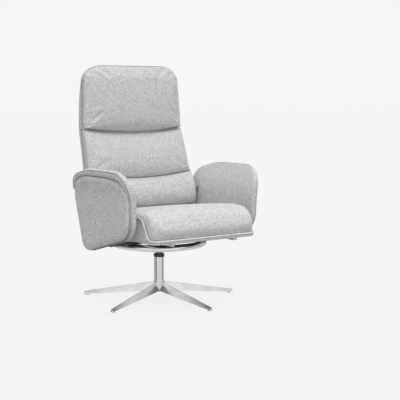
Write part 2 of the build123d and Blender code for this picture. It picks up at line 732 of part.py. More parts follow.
rim_outer = arm_inner + arm_rim_reach
flare_top = arm_inner + arm_flare
pad_outer = arm_inner + arm_pad_thickness
pad_edge = Polyline((arm_inner, arm_flare_start), (arm_inner, arm_pad_bottom), (pad_outer, arm_pad_bottom),
                    (pad_outer, core_top))
rim_edge = arm_top - arm_rim_edge
underside_middle = (core_top + arm_rim_underside) / 2
pad_edge += ThreePointArc((pad_outer, core_top), (pad_outer + arm_rim_sweep, underside_middle),
                          (rim_outer, arm_rim_underside))
pad_edge += Line((rim_outer, arm_rim_underside), (rim_outer, rim_edge))
pad_edge += ThreePointArc((rim_outer, rim_edge), (rim_outer - arm_rim_sweep, arm_top - 3),
                          (flare_top, rim_edge))
pad_edge += ThreePointArc((flare_top, rim_edge),
                          (arm_inner + arm_flare / 4, arm_flare_start + arm_flare_middle),
                          (arm_inner, arm_flare_start))
pad_profile = Plane.XZ * make_face(pad_edge)
pad_plan = make_face(Polyline((0, arm_front), (rim_outer, arm_front), (rim_outer, arm_rear), (0, arm_rear),
                              close=True))
pad_plan = fillet(pad_plan.vertices().group_by(Axis.X)[-1], arm_plan_round)
arm_pad = extrude(pad_profile, far / 2, both=True) & side_slab(arm_outline(0), 0, far)
arm_pad = arm_pad & extrude(pad_plan, far)

core = side_slab(arm_outline(core_inset), core_inner, core_outer)
core = core & block(0, far, -far, far, arm_bottom, core_top)
arm_pad -= core
arm_pad -= cross_rod(spacer_radius + soft_gap, 0, core_inner, pivot_place, pivot_height)
core -= cross_rod(pivot_bolt_radius, 0, far, pivot_place, pivot_height)
for place in bar_places:
    core -= cross_rod(arm_bolt_radius + bolt_hole_gap, 0, far, place, arm_bolt_height)
    core -= cross_rod(bolt_head_radius, core_outer - bolt_head_height, far, place, arm_bolt_height)

panel_front = arm_front + panel_setback
panel_rear = arm_rear - panel_rear_setback
panel_corners = ((panel_front, panel_top), (panel_rear, panel_top), (arm_rear_foot, arm_bottom),
                 (panel_front, arm_front_bottom))
panel_rounds = (panel_front_top_round, panel_rear_top_round, arm_rear_foot_round, arm_front_foot_round)


def panel_section(inset, bulge):
    face = make_face(FilletPolyline(*panel_corners, radius=panel_rounds, close=True))
    return Pos(pad_outer + soft_gap + bulge, 0, 0) * (Plane.YZ * offset(face, -inset))


arm_panel = loft([panel_section(inset, share * panel_bulge) for inset, share in panel_steps]) - arm_pad

for name, piece in (("arm_pad", arm_pad), ("arm_core", core), ("arm_panel", arm_panel)):
    write(f"{name}_left", piece, deck)
    write(f"{name}_right", mirror(piece, Plane.YZ), deck)
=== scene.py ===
import math

import bmesh
import bpy
import numpy as np
from mathutils import Matrix, Vector


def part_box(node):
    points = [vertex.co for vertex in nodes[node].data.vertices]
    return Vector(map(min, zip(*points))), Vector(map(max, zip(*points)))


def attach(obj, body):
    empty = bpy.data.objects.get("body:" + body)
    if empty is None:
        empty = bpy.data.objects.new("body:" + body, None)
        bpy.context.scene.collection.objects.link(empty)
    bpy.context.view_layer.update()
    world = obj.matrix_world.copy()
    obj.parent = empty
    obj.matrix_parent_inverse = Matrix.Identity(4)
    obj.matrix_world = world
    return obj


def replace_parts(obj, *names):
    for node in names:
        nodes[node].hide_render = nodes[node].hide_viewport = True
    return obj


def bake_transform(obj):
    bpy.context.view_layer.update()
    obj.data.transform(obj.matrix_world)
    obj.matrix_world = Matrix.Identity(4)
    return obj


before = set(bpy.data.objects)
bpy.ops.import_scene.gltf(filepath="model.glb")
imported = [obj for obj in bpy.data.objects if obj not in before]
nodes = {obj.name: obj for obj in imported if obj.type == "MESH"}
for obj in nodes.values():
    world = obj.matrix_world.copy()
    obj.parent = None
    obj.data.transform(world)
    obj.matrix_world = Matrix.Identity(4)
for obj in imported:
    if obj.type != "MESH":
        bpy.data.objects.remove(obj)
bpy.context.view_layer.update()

# ---- Viewpoint, floor and light --------------------------------------------------------------------
# The chair stands alone on a plain pale studio floor and is seen from its front right, a little above
# seat height. Broad overhead light, with tall soft boxes that only the polished metal mirrors.
swivel_y = 0.030
camera_turn, camera_reach, camera_height = math.radians(33), 4.571, 0.951
view_from = Vector((-camera_reach * math.sin(camera_turn), swivel_y - camera_reach * math.cos(camera_turn),
                    camera_height))
view_along = Vector((0.5755, 0.8107, -0.1071)).normalized()
view_right = view_along.cross(Vector((0, 0, 1))).normalized()
view_up = view_right.cross(view_along)


def in_scene(name, data):
    thing = bpy.data.objects.new(name, data)
    bpy.context.scene.collection.objects.link(thing)
    return thing


lens = bpy.data.cameras.new("photo_camera")
lens.lens = 90
lens.sensor_width = 36
lens.clip_end = 60
photo_camera = in_scene("photo_camera", lens)
turned = Matrix((view_right, view_up, -view_along)).transposed().to_4x4()
turned.translation = view_from
photo_camera.matrix_world = turned
bpy.context.scene.camera = photo_camera
bpy.context.scene.view_settings.view_transform = "Standard"


def feed(tree, node, inputs):
    """Give each named or numbered input of a node its value or its link."""
    for socket, value in dict(inputs).items():
        if isinstance(value, bpy.types.NodeSocket):
            tree.links.new(value, node.inputs[socket])
        else:
            node.inputs[socket].default_value = value


def new_node(tree, kind, inputs=(), **settings):
    node = tree.nodes.new("ShaderNode" + kind)
    for setting, value in settings.items():
        setattr(node, setting, value)
    feed(tree, node, inputs)
    return node


def maths(tree, operation, *values):
    return new_node(tree, "Math", enumerate(values), operation=operation).outputs[0]


def ranged(tree, value, low, high, to_low=0.0, to_high=1.0, **settings):
    """A value moved from one range to another, and held at the ends."""
    inputs = {"Value": value, "From Min": low, "From Max": high, "To Min": to_low, "To Max": to_high}
    return new_node(tree, "MapRange", inputs, **settings).outputs[0]


def blend_colours(tree, mask, first, second):
    first, second = [(*colour, 1) if isinstance(colour, tuple) else colour for colour in (first, second)]
    return new_node(tree, "Mix", {0: mask, 6: first, 7: second}, data_type="RGBA").outputs[2]


# soft boxes that the metal mirrors: degrees round from the front, width and brightness
mirrored_boxes = ((-28, 0.45, 0.50), (-75, 0.05, 0.36), (20, 0.04, 0.5), (110, 0.10, 0.4), (-140, 0.06, 0.5),
                  (74, 0.12, 0.27))


def studio_world():
    world = bpy.data.worlds.new("studio")
    bpy.context.scene.world = world
    world.use_nodes = True
    tree = world.node_tree
    tree.nodes.clear()
    rays = new_node(tree, "LightPath").outputs
    direction = new_node(tree, "TexCoord").outputs["Generated"]
    height = new_node(tree, "SeparateXYZ", {0: direction}).outputs["Z"]
    backdrop = new_node(tree, "Background", {"Color": (0.922, 0.922, 0.922, 1)}).outputs[0]
    daylight = ranged(tree, height, -0.3, 0.8, 0.40, 1.40)
    soft = new_node(tree, "Background", {"Color": daylight, "Strength": 0.52}).outputs[0]
    # the mirrored studio: pale walls, a darker band low down, and a paler floor
    walls = ranged(tree, height, -0.05, 0.45, 0.14, 0.66)
    mirrored = maths(tree, "ADD", walls, ranged(tree, height, -0.14, -0.55, 0.0, 0.72))
    for turn, width, level in mirrored_boxes:
        aim = Vector((math.sin(math.radians(turn)), -math.cos(math.radians(turn)), 0.12)).normalized()
        toward = new_node(tree, "VectorMath", {0: direction, 1: aim}, operation="DOT_PRODUCT")
        edge, core = 1 - 1.6 * width, 1 - 0.5 * width
        box = ranged(tree, toward.outputs["Value"], edge, core, 0.0, level, interpolation_type="SMOOTHSTEP")
        mirrored = maths(tree, "ADD", mirrored, box)
    shine = new_node(tree, "Background", {"Color": mirrored}).outputs[0]
    lit = new_node(tree, "MixShader", {0: rays["Is Glossy Ray"], 1: soft, 2: shine}).outputs[0]
    seen = new_node(tree, "MixShader", {0: rays["Is Camera Ray"], 1: lit, 2: backdrop}).outputs[0]
    new_node(tree, "OutputWorld", {0: seen})


studio_world()
lamps = (("overhead_light", 1.33, 70, (14, 0, 0)), ("front_light", 0.93, 50, (50, 0, -26)))
for name, energy, spread, lean in lamps:
    lamp = bpy.data.lights.new(name, "SUN")
    lamp.energy = energy
    lamp.angle = math.radians(spread)
    holder = in_scene(name, lamp)
    holder.rotation_euler = [math.radians(a) for a in lean]
    holder.visible_glossy = False


def new_material(name):
    material = bpy.data.materials.new(name)
    material.use_nodes = True
    return material, material.node_tree, material.node_tree.nodes["Principled BSDF"]


floor_mesh = bpy.data.meshes.new("floor")
reach = 45.0
floor_mesh.from_pydata([(-reach, -reach, 0), (reach, -reach, 0), (reach, reach, 0), (-reach, reach, 0)], [],
                       [(0, 1, 2, 3)])
floor = in_scene("floor", floor_mesh)
floor_paint, tree, shader = new_material("pale_floor")
bounced = new_node(tree, "LightPath").outputs["Is Diffuse Ray"]
feed(tree, shader, {"Base Color": (0.07, 0.07, 0.07, 1), "Roughness": 0.9, "Specular IOR Level": 0.0,
                    "Emission Color": blend_colours(tree, bounced, (0.83, 0.83, 0.83), (0.36, 0.36, 0.36)),
                    "Emission Strength": 1.0})
floor_mesh.materials.append(floor_paint)
floor.visible_glossy = False


# ---- Star foot -------------------------------------------------------------------------------------
# Five cast aluminium legs with a sharp ridge, ground and polished, welded to a turned hub.
# Fine polishing lines run over the metal, and the ridges and tips carry small rub marks.
def new_group(name, inputs, outputs):
    """Empty shader group. An input given None is a vector, and one given a number is a value."""
    group = bpy.data.node_groups.new(name, "ShaderNodeTree")
    for socket, value in inputs.items():
        kind = "NodeSocketVector" if value is None else "NodeSocketFloat"
        made = group.interface.new_socket(name=socket, in_out="INPUT", socket_type=kind)
        if value is not None:
            made.default_value = value
    for socket in outputs:
        group.interface.new_socket(name=socket, in_out="OUTPUT", socket_type="NodeSocketFloat")
    return group, group.nodes.new("NodeGroupInput").outputs, group.nodes.new("NodeGroupOutput")


def use_group(tree, group, place, values):
    return new_node(tree, "Group", {"Vector": place, **values}, node_tree=group).outputs


def noise(tree, vector, scale, detail=2.0, roughness=0.5):
    inputs = {"Vector": vector, "Scale": scale, "Detail": detail, "Roughness": roughness}
    return new_node(tree, "TexNoise", inputs).outputs["Fac"]


def stretch(tree, vector, scale):
    return new_node(tree, "VectorMath", {0: vector, 1: scale}, operation="MULTIPLY").outputs[0]


def bump(tree, height, distance, strength=1.0):
    return new_node(tree, "Bump", {"Height": height, "Distance": distance, "Strength": strength}).outputs[0]


def polish_group():
    """Fine lines and smears that polishing and handling leave on metal."""
    group, given, result = new_group("polishing", {"Vector": None, "Line Scale": 900.0}, ("Lines", "Smears"))
    lines = noise(group, stretch(group, given["Vector"], (1, 1, 0.04)), given["Line Scale"], 3)
    smears = noise(group, given["Vector"], 14, 4, 0.6)
    feed(group, result, {"Lines": lines, "Smears": ranged(group, smears, 0.42, 0.7)})
    return group


def wear_group():
    """Mask of edges and corners that are touched or rubbed, broken up by noise."""
    group, given, result = new_group("edge_wear", {"Vector": None, "Amount": 0.5}, ("Worn",))
    edges = ranged(group, new_node(group, "NewGeometry").outputs["Pointiness"], 0.52, 0.60)
    broken = ranged(group, noise(group, given["Vector"], 90, 4), 0.4, 0.62)
    worn = maths(group, "MULTIPLY", maths(group, "MULTIPLY", edges, broken), given["Amount"])
    feed(group, result, {"Worn": worn})
    return group


polishing = polish_group()
edge_wear = wear_group()


def metal(name, colour, smear_colour, smooth, rough, line_scale=900.0):
    material, tree, shader = new_material(name)
    place = new_node(tree, "TexCoord").outputs["Object"]
    marks = use_group(tree, polishing, place, {"Line Scale": line_scale})
    worn = use_group(tree, edge_wear, place, {"Amount": 0.6})["Worn"]
    tint = blend_colours(tree, marks["Smears"], colour, smear_colour)
    brighter = tuple(min(1.0, 1.12 * c) for c in colour)
    finish = maths(tree, "MULTIPLY_ADD", marks["Lines"], rough - smooth, smooth)
    line_depth = 0.00002
    feed(tree, shader, {"Metallic": 1.0, "Base Color": blend_colours(tree, worn, tint, brighter),
                        "Roughness": maths(tree, "MULTIPLY_ADD", marks["Smears"], 0.06, finish),
                        "Normal": bump(tree, marks["Lines"], line_depth)})
    return material


def finish_with(material, *names):
    for node_name in names:
        slots = nodes[node_name].data.materials
        slots.clear()
        slots.append(material)


polished_aluminium = metal("polished_aluminium", (0.76, 0.765, 0.77), (0.62, 0.625, 0.63), 0.17, 0.31)
finish_with(polished_aluminium, *[f"star_leg_{leg}" for leg in range(1, 6)], "base_hub")


# ---- Glides, collar and bearings -------------------------------------------------------------------
# Moulded pale nylon glides are pressed under the leg tips and a black collar caps the column.
# Inside it the spindle turns in two pale nylon bushes and stands on a washer.
def moulded(name, colour, rough, grain=1400.0):
    material, tree, shader = new_material(name)
    place = new_node(tree, "TexCoord").outputs["Object"]
    texture = noise(tree, place, grain, 3)
    dust = ranged(tree, noise(tree, place, 30, 4), 0.45, 0.7, 0.0, 0.6)
    worn = use_group(tree, edge_wear, place, {"Amount": 0.5})["Worn"]
    tone = blend_colours(tree, dust, colour, tuple(c + 0.06 for c in colour))
    lighter = tuple(min(1, c + 0.12) for c in colour)
    texture_depth = 0.00006
    feed(tree, shader, {"Base Color": blend_colours(tree, worn, tone, lighter),
                        "Roughness": ranged(tree, texture, 0.3, 0.7, rough - 0.08, rough + 0.08),
                        "Normal": bump(tree, texture, texture_depth)})
    return material


finish_with(moulded("black_nylon", (0.022, 0.022, 0.023), 0.42), "column_collar")
finish_with(moulded("pale_nylon", (0.74, 0.73, 0.69), 0.45), "leg_glides", "thrust_washer", "lower_bush",
            "upper_bush")

# ---- Column and spindle ----------------------------------------------------------------------------
# A drawn steel tube, chromed, pressed over the hub's spigot. The spindle is plain turned steel, dark
# with oil where it shows above the collar.
finish_with(metal("chromed_steel", (0.83, 0.835, 0.84), (0.75, 0.755, 0.76), 0.07, 0.16), "column_tube")
finish_with(metal("oiled_steel", (0.20, 0.20, 0.205), (0.12, 0.12, 0.12), 0.28, 0.45), "spindle")

# ---- Chassis, cross bars, tracks and hardware ------------------------------------------------------
# A bent and welded tube ring on four flat bars carries two black powder-coated channels. The seat
# runners slide in zinc-plated tracks, and all bolts, plates and hinge leaves are zinc plated.
finish_with(metal("polished_steel", (0.70, 0.705, 0.71), (0.58, 0.585, 0.59), 0.08, 0.18), "chassis_ring")
finish_with(metal("satin_steel", (0.66, 0.665, 0.67), (0.56, 0.56, 0.565), 0.22, 0.38), "spider")
zinc = metal("zinc_plate", (0.62, 0.63, 0.65), (0.50, 0.51, 0.54), 0.30, 0.48, 500.0)
finish_with(zinc, "spindle_clip", "arm_bolts", "chassis_bolts", "pivot_bolts", "pivot_spacers",
            "pivot_plates", "head_hinge_lower", "head_hinge_pins", "head_hinge_upper", "glide_track_left",
            "glide_track_right")
finish_with(metal("drawn_aluminium", (0.70, 0.705, 0.71), (0.60, 0.60, 0.61), 0.25, 0.40),
            "seat_runner_left", "seat_runner_right")
# the channels' black also stands in for the shade seen under the seat's side panels: painted shade
black_coat_and_painted_shade = moulded("black_powder_coat_and_painted_shade", (0.03, 0.03, 0.032), 0.5, 2200.0)
finish_with(black_coat_and_painted_shade, "cross_bar_front", "cross_bar_rear", "back_upright_left", "back_upright_right",
            "back_cross_lower", "back_cross_upper")


# ---- Seat rails, head board and arm cores ----------------------------------------------------------
# Sawn plywood, brown with glue and age: long grain on the faces and thin plies at the edges. It is
# screwed together inside the covers.
def sawn_plywood():
    material, tree, shader = new_material("sawn_plywood")
    place = new_node(tree, "TexCoord").outputs["Object"]
    grain = noise(tree, stretch(tree, place, (60, 5, 60)), 3, 5, 0.6)
    plies = new_node(tree, "TexWave", {"Vector": place, "Scale": 105, "Distortion": 0.6}, bands_direction="X")
    glue_lines = ranged(tree, plies.outputs["Fac"], 0.7, 0.95, 0.0, 0.45)
    wood = blend_colours(tree, ranged(tree, grain, 0.35, 0.65), (0.30, 0.25, 0.20), (0.42, 0.36, 0.30))
    grain_depth = 0.0002
    feed(tree, shader, {"Base Color": blend_colours(tree, glue_lines, wood, (0.18, 0.14, 0.11)),
                        "Roughness": ranged(tree, grain, 0.3, 0.7, 0.62, 0.80),
                        "Normal": bump(tree, grain, grain_depth)})
    return material


finish_with(sawn_plywood(), "seat_rail_front", "seat_rail_rear", "seat_rail_left", "seat_rail_right",
            "head_board", "arm_core_left", "arm_core_right")


# ---- Seat cushion ----------------------------------------------------------------------------------
# Moulded foam under heathered wool-blend cloth. The top is crowned, and the nose rolls down to the
# fascia between S-shaped side seams. The cloth is one grey yarn with lighter and darker fibres.
def weave_group():
    """Plain weave seen on every side of a piece: how far each thread stands up, down to the gaps."""
    sockets = {"Vector": None, "Facing": None, "Threads": 620.0}
    group, given, result = new_group("plain_weave", sockets, ("Relief",))
    uneven = new_node(group, "TexNoise", {"Vector": given["Vector"], "Scale": 45}).outputs["Color"]
    spread = new_node(group, "VectorMath", {0: uneven, 1: (0.002, 0.002, 0.002), 2: given["Vector"]},
                      operation="MULTIPLY_ADD").outputs[0]
    scale = maths(group, "MULTIPLY", given["Threads"], math.pi)
    scaled = new_node(group, "VectorMath", {0: spread}, operation="SCALE")
    feed(group, scaled, {"Scale": scale})
    along = new_node(group, "SeparateXYZ", {0: scaled.outputs[0]}).outputs
    sides = new_node(group, "SeparateXYZ", {0: given["Facing"]}).outputs
    waves = [maths(group, "SINE", along[axis]) for axis in range(3)]
    weights = [maths(group, "POWER", maths(group, "ABSOLUTE", sides[axis]), 3) for axis in range(3)]
    whole = maths(group, "ADD", maths(group, "ADD", weights[0], weights[1]), weights[2])
    shares = []
    for axis in range(3):
        pair = maths(group, "MULTIPLY", waves[(axis + 1) % 3], waves[(axis + 2) % 3])
        shares.append(maths(group, "MULTIPLY", pair, maths(group, "DIVIDE", weights[axis], whole)))
    relief = maths(group, "ADD", maths(group, "ADD", shares[0], shares[1]), shares[2])
    feed(group, result, {"Relief": maths(group, "MULTIPLY_ADD", relief, 0.5, 0.5)})
    return group


def heather_group():
    """Yarn of mixed fibres: flecks the size of a thread, longer slubs and a soft cloudiness."""
    group, given, result = new_group("heathered_yarn", {"Vector": None, "Flecks": 1.0}, ("Tone", "Cloud"))
    place = given["Vector"]
    flecks = ranged(group, noise(group, place, 340, 3, 0.85), 0.38, 0.62)
    across, along = [ranged(group, noise(group, stretch(group, place, scale), 1, 3, 0.6), 0.3, 0.7)
                     for scale in ((60, 60, 300), (300, 300, 60))]
    slubs = maths(group, "MULTIPLY_ADD", maths(group, "ADD", across, along), 0.5, -0.5)
    even = maths(group, "MULTIPLY_ADD", slubs, 0.55, maths(group, "SUBTRACT", flecks, 0.5))
    feed(group, result, {"Tone": maths(group, "MULTIPLY_ADD", even, given["Flecks"], 0.5),
                         "Cloud": ranged(group, noise(group, place, 7, 3), 0.3, 0.7)})
    return group


plain_weave = weave_group()
heathered_yarn = heather_group()


def wool_cloth(name, light, dark, threads=620.0, flecks=1.0, relief=0.00035, grain=1.0):
    material, tree, shader = new_material(name)
    coordinates = new_node(tree, "TexCoord").outputs
    place = coordinates["Object"]
    yarn = use_group(tree, heathered_yarn, stretch(tree, place, (grain, grain, grain)), {"Flecks": flecks})
    threaded = {"Facing": coordinates["Normal"], "Threads": threads}
    weave = use_group(tree, plain_weave, place, threaded)["Relief"]
    worn = use_group(tree, edge_wear, place, {"Amount": 0.35})["Worn"]
    cloth = blend_colours(tree, yarn["Tone"], dark, light)
    middle = tuple((a + b) / 2 for a, b in zip(light, dark))
    clouded = blend_colours(tree, maths(tree, "MULTIPLY", yarn["Cloud"], 0.16), cloth, middle)
    gaps = ranged(tree, weave, 0.05, 0.45, 0.38, 0.0)
    woven = blend_colours(tree, gaps, clouded, tuple(0.55 * c for c in dark))
    pale = tuple(min(1, 1.06 * c) for c in light)
    height = maths(tree, "MULTIPLY_ADD", yarn["Tone"], 0.5, weave)
    feed(tree, shader, {"Base Color": blend_colours(tree, worn, woven, pale),
                        "Roughness": ranged(tree, yarn["Tone"], 0, 1, 0.98, 0.86),
                        "Sheen Weight": 0.12, "Sheen Roughness": 0.6, "Specular IOR Level": 0.15,
                        "Normal": bump(tree, height, relief, 0.8)})
    return material


grey_wool = wool_cloth("grey_wool", (0.83, 0.845, 0.83), (0.33, 0.34, 0.33), flecks=1.1, grain=0.85)
millimetre = 0.001


def cloth_object(name, points, faces, material=grey_wool):
    """Closed mesh from points in millimetres, with the swivel axis at y = 0 and heights from the floor."""
    mesh = bpy.data.meshes.new(name)
    placed = np.asarray(points, float) * millimetre + np.array([0, swivel_y, 0])
    mesh.from_pydata(placed.tolist(), [], faces)
    made = bmesh.new()
    made.from_mesh(mesh)
    bmesh.ops.remove_doubles(made, verts=made.verts, dist=0.00002)
    bmesh.ops.recalc_face_normals(made, faces=made.faces)
    made.to_mesh(mesh)
    made.free()
    mesh.polygons.foreach_set("use_smooth", [True] * len(mesh.polygons))
    mesh.materials.append(material)
    return in_scene(name, mesh)


def grid_faces(rows, columns, start=0, closed=False):
    across = columns if closed else columns - 1
    return [(start + r * columns + c, start + r * columns + (c + 1) % columns,
             start + (r + 1) * columns + (c + 1) % columns, start + (r + 1) * columns + c)
            for r in range(rows - 1) for c in range(across)]


def two_sided(name, face, lining, material=grey_wool, rims=()):
    """Closed form from two grids (rows, columns, 3) that share their border, or have a rim at some rows."""
    rows, columns = face.shape[:2]
    size = rows * columns
    points = np.concatenate([face.reshape(-1, 3), lining.reshape(-1, 3)])
    faces = grid_faces(rows, columns) + grid_faces(rows, columns, size)
    for row in rims:
        faces += [(a, a + 1, size + a + 1, size + a) for a in range(row * columns, (row + 1) * columns - 1)]
    return cloth_object(name, points, faces, material)


def crowded(count):
    """Places from -1 to 1, closer together at both ends."""
    return np.sin(np.linspace(-math.pi / 2, math.pi / 2, count))


def ripple(a, b, size, seed):
    """Gentle unevenness of stuffed cloth."""
    rng = np.random.default_rng(seed)
    total = 0
    for _ in range(7):
        wave = rng.uniform(0.35, 1.0) * 2 * math.pi / size
        turn, shift = rng.uniform(0, 2 * math.pi, 2)
        total = total + np.sin(wave * (a * math.cos(turn) + b * math.sin(turn)) + shift)
    return total / 7


def smooth_step(value, low, high):
    t = np.clip((value - low) / (high - low), 0, 1)
    return t * t * (3 - 2 * t)


def roll_in(distance, reach):
    """Rise from 0 to 1 over a reach, round as a quarter circle."""
    return np.sqrt(1 - (1 - np.clip(distance / reach, 0, 1)) ** 2)


def unit(steps):
    return steps / np.linalg.norm(steps, axis=-1, keepdims=True)


def eased(line, times):
    """A line with its bends eased and its ends kept."""
    for _ in range(times):
        line[1:-1] = (line[:-2] + 2 * line[1:-1] + line[2:]) / 4
    return line


def evenly_spaced(line, count, closing=True):
    """Points at even distances along a line of (y, z) points."""
    length = np.concatenate([[0], np.cumsum(np.linalg.norm(np.diff(line, axis=0), axis=1))])
    even = np.linspace(0, length[-1], count, endpoint=closing)
    return np.stack([np.interp(even, length, line[:, axis]) for axis in (0, 1)], axis=1)


def places_of(mesh):
    """The mesh's points as rows of x, y and z, in metres."""
    places = np.empty(len(mesh.vertices) * 3)
    mesh.vertices.foreach_get("co", places)
    return places.reshape(-1, 3)


def applied(piece, name, kind, **settings):
    """Add a modifier, set it and apply it."""
    modifier = piece.modifiers.new(name, kind)
    for setting, value in settings.items():
        setattr(modifier, setting, value)
    with bpy.context.temp_override(object=piece, active_object=piece):
        bpy.ops.object.modifier_apply(modifier=modifier.name)


def plump(piece, voxel, cap, held):
    """Stuff a cover by cloth simulation: it swells by no more than the cap, and what is held stays put."""
    scene = bpy.context.scene
    bpy.context.view_layer.objects.active = piece
    applied(piece, "cloth grain", "REMESH", mode="VOXEL", voxel_size=voxel)
    start = places_of(piece.data)
    cloth = piece.modifiers.new("stuffing", "CLOTH")
    settings = cloth.settings
    settings.quality = 4
    settings.use_pressure = True
    settings.uniform_pressure_force = 4.0
    settings.effector_weights.gravity = 0
    settings.tension_stiffness = settings.compression_stiffness = 20
    settings.bending_stiffness = 8.0
    settings.mass = 0.3
    cloth.collision_settings.use_collision = False
    pinned = piece.vertex_groups.new(name="seams")
    weights = held(start / millimetre - np.array([0, swivel_y / millimetre, 0]))
    for index in np.nonzero(weights > 0.02)[0]:
        pinned.add([int(index)], float(weights[index]), "REPLACE")
    settings.vertex_group_mass = pinned.name
    frames = 20
    for step in range(1, frames + 1):
        scene.frame_set(step)
    shaped = piece.evaluated_get(bpy.context.evaluated_depsgraph_get())
    shift = places_of(shaped.data) - start
    piece.modifiers.remove(cloth)
    far = np.linalg.norm(shift, axis=1, keepdims=True)
    shift *= np.minimum(1, cap / np.maximum(far, 1e-9))
    piece.data.vertices.foreach_set("co", (start + shift).ravel())
    piece.data.update()
    scene.frame_set(1)
    applied(piece, "finer", "SUBSURF", levels=1, render_levels=1)
    piece.data.polygons.foreach_set("use_smooth", [True] * len(piece.data.polygons))


def upholstered(piece, body, node):
    """Attach a padded piece to the body it rides on, and hide any plain solid it stands for."""
    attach(piece, body)
    if node:
        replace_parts(piece, node)


deck = 280.0
seat_half, seat_front, corner_round = 268.0, -378.0, 34.0
seam_run = ((112, 124), (-255, 142.5), (-278, 141.5), (-293, 132), (-304, 114), (-314, 91), (-324, 70),
            (-336, 57), (-352, 52.5), (-390, 51))
soft_run = np.linspace(112, -390, 400)


def seam_height(place):
    """Height of the S-shaped side seam at a place along the seat, with its bends eased."""
    ys, zs = np.array(seam_run[::-1]).T
    return deck + np.interp(place, soft_run[::-1], eased(np.interp(soft_run, ys, zs), 40)[::-1])


def front_line(x):
    """The seat's front edge seen from above: straight, with rounded corners."""
    past = np.clip(np.abs(x) - (seat_half - corner_round), 0, corner_round)
    return seat_front + corner_round - np.sqrt(corner_round**2 - past**2)


def seat_cover():
    """Top and nose of the seat, then its underside between the panels."""
    u, s = np.meshgrid(crowded(71), np.linspace(0, 1, 100))
    route = np.array([(118, 112), (104, 121), (60, 129), (0, 137), (-95, 148), (-190, 158), (-262, 165),
                      (-312, 165), (-344, 154), (-366, 131), (-379, 100), (-378, 72), (-369, 51)], float)
    line = eased(evenly_spaced(route, 500), 260)
    y, z = [np.interp(s, np.linspace(0, 1, 500), line[:, axis]) for axis in (0, 1)]
    z = z + deck
    x = u * seat_half
    low_end = seam_height(front_line(x))
    front = smooth_step(-y, 300, 350)
    remapped = low_end + (z - deck - 51) * (deck + 170 - low_end) / (170 - 51)
    z = z + front * (remapped - z)
    y = np.where(y < 0, y * front_line(x) / seat_front, y)
    share = np.abs(u)
    on_top = smooth_step(s, 0.0, 0.15) * (1 - smooth_step(s, 0.60, 0.92))
    z = z + (11 * (1 - share**2.2) - 14 * (1 - roll_in(seat_half - np.abs(x), 20))) * on_top
    z = z + 1.6 * ripple(x, y, 190, 3) * on_top
    y = y + 1.0 * ripple(x, z, 120, 5) * (1 - on_top) * smooth_step(s, 0.5, 0.7) * (1 - share**6)
    face = np.stack([x, y, z], axis=-1)
    seam = seam_height(y)
    inner = (share < 0.97) & (y > -350)
    under = np.stack([x, y, np.where(inner, deck + 97, np.minimum(z - 0.6, seam))], axis=-1)
    under[0], under[-1] = face[0], face[-1]
    return face, under


face, under = seat_cover()
rows, columns = face.shape[:2]
points = [face.reshape(-1, 3), under.reshape(-1, 3)]
faces = grid_faces(rows, columns) + grid_faces(rows, columns, rows * columns)
cheek_rows = 7
for side, column in ((-1, 0), (1, -1)):
    level = np.linspace(0, 1, cheek_rows)[None, :, None]
    cheek = face[:, column][:, None] * (1 - level) + under[:, column][:, None] * level
    cheek[:, :, 0] += side * 2.0 * np.sin(math.pi * level[:, :, 0])
    faces += grid_faces(rows, cheek_rows, sum(len(part) for part in points))
    points.append(cheek.reshape(-1, 3))
seat_cushion = cloth_object("seat_cushion_cover", np.concatenate(points), faces)


def hold_below_seam(p):
    return smooth_step(seam_height(p[:, 1]) + 14 - p[:, 2], 0, 12)


plump(seat_cushion, voxel=0.006, cap=0.005, held=hold_below_seam)
upholstered(seat_cushion, "seat", "seat_cushion")

# ---- Seat side panels, fascia and piping -----------------------------------------------------------
# Cloth over a thin foam lining, stapled under the seat box. The panels meet the cushion at the S-shaped
# seam, which is covered by a cord wrapped in a strip of the paler side of the cloth.


def round_plan(out):
    """Line round the seat seen from above, from the left rear to the right rear, moved outward."""
    half, turn = seat_half + out, corner_round + out
    left = [(half, y) for y in np.linspace(112, seat_front + corner_round, 60)]
    middle = (seat_half - corner_round, seat_front + corner_round)
    corner = [(middle[0] + turn * math.cos(a), middle[1] - turn * math.sin(a))
              for a in np.linspace(0, math.pi / 2, 24)[1:]]
    front = [(x, seat_front - out) for x in np.linspace(middle[0], 0, 30)[1:]]
    quarter = np.array(left + corner + front)
    return np.concatenate([quarter, (quarter * [-1, 1])[::-1][1:]])


def bottom_height(y):
    return deck + np.interp(y, (-230, -110), (36, 24))


def border_panel(name, node, keep):
    chosen = keep(round_plan(0)[:, 0])
    outer, inner, proud = [round_plan(out)[chosen] for out in (0, -10, 1.0)]
    levels = np.linspace(0, 1, 15)
    low, high = bottom_height(outer[:, 1]), seam_height(outer[:, 1]) - 0.6
    z = low[:, None] + (high - low)[:, None] * levels
    bulge = 3.0 * np.sin(math.pi * levels) ** 0.6 + 0.5 * ripple(outer[:, 1][:, None], z, 90, 11)
    bulge[:, 0] = bulge[:, -1] = bulge[0] = bulge[-1] = 0
    outward = (proud - outer)[:, None]
    front_face = np.concatenate([outer[:, None] + outward * bulge[..., None], z[..., None]], axis=2)
    back_face = np.concatenate([np.repeat(inner[:, None], len(levels), axis=1), z[..., None]], axis=2)
    back_face[0], back_face[-1] = front_face[0], front_face[-1]
    back_face[:, 0], back_face[:, -1] = front_face[:, 0], front_face[:, -1]
    upholstered(two_sided(name, front_face, back_face), "seat", node)


panel_end = 238
border_panel("seat_panel_left", "seat_side_left", lambda x: x > panel_end)
border_panel("seat_panel_right", "seat_side_right", lambda x: x < -panel_end)
border_panel("seat_fascia_cover", "seat_fascia", lambda x: np.abs(x) <= panel_end)


